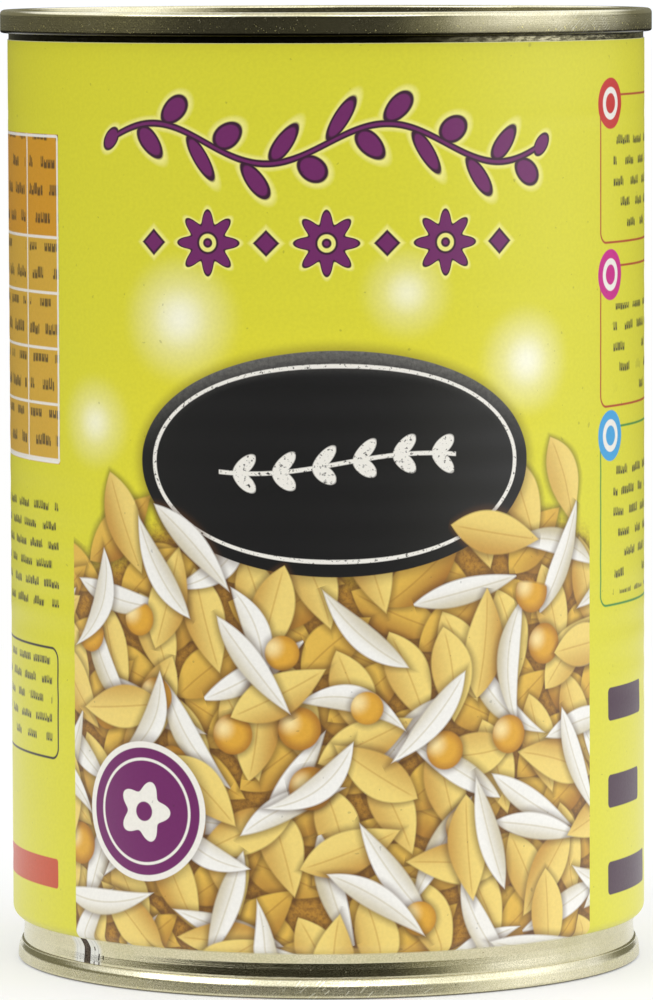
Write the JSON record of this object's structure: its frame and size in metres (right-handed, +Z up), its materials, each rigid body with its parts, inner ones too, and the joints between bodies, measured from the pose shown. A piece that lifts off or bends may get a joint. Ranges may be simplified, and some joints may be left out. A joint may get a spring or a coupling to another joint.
{
  "type": "food tin",
  "caption": "Sealed steel food tin with double-seamed ends, a beaded body, a necked-in base for stacking and a wrapped paper label.",
  "frame": {"origin": "centre of the base, in the plane that the tin stands on", "axes": "+Z up along the tin's axis; the front of the label faces -Y; +X is to the right seen from the front"},
  "size_m": [0.0754, 0.0754, 0.11],
  "materials": {
    "tinplate": "pale gold lacquered tinplate, fine scratches",
    "seal": "matt sealing compound",
    "label": "glossy coated paper, printed",
    "contents": "wet pale vegetables"
  },
  "bodies": {
    "root": {"can_body": "tinplate", "top_end": "tinplate", "bottom_end": "tinplate", "top_seal": "seal", "bottom_seal": "seal", "paper_label": "label", "contents": "contents"}
  },
  "joints": []
}
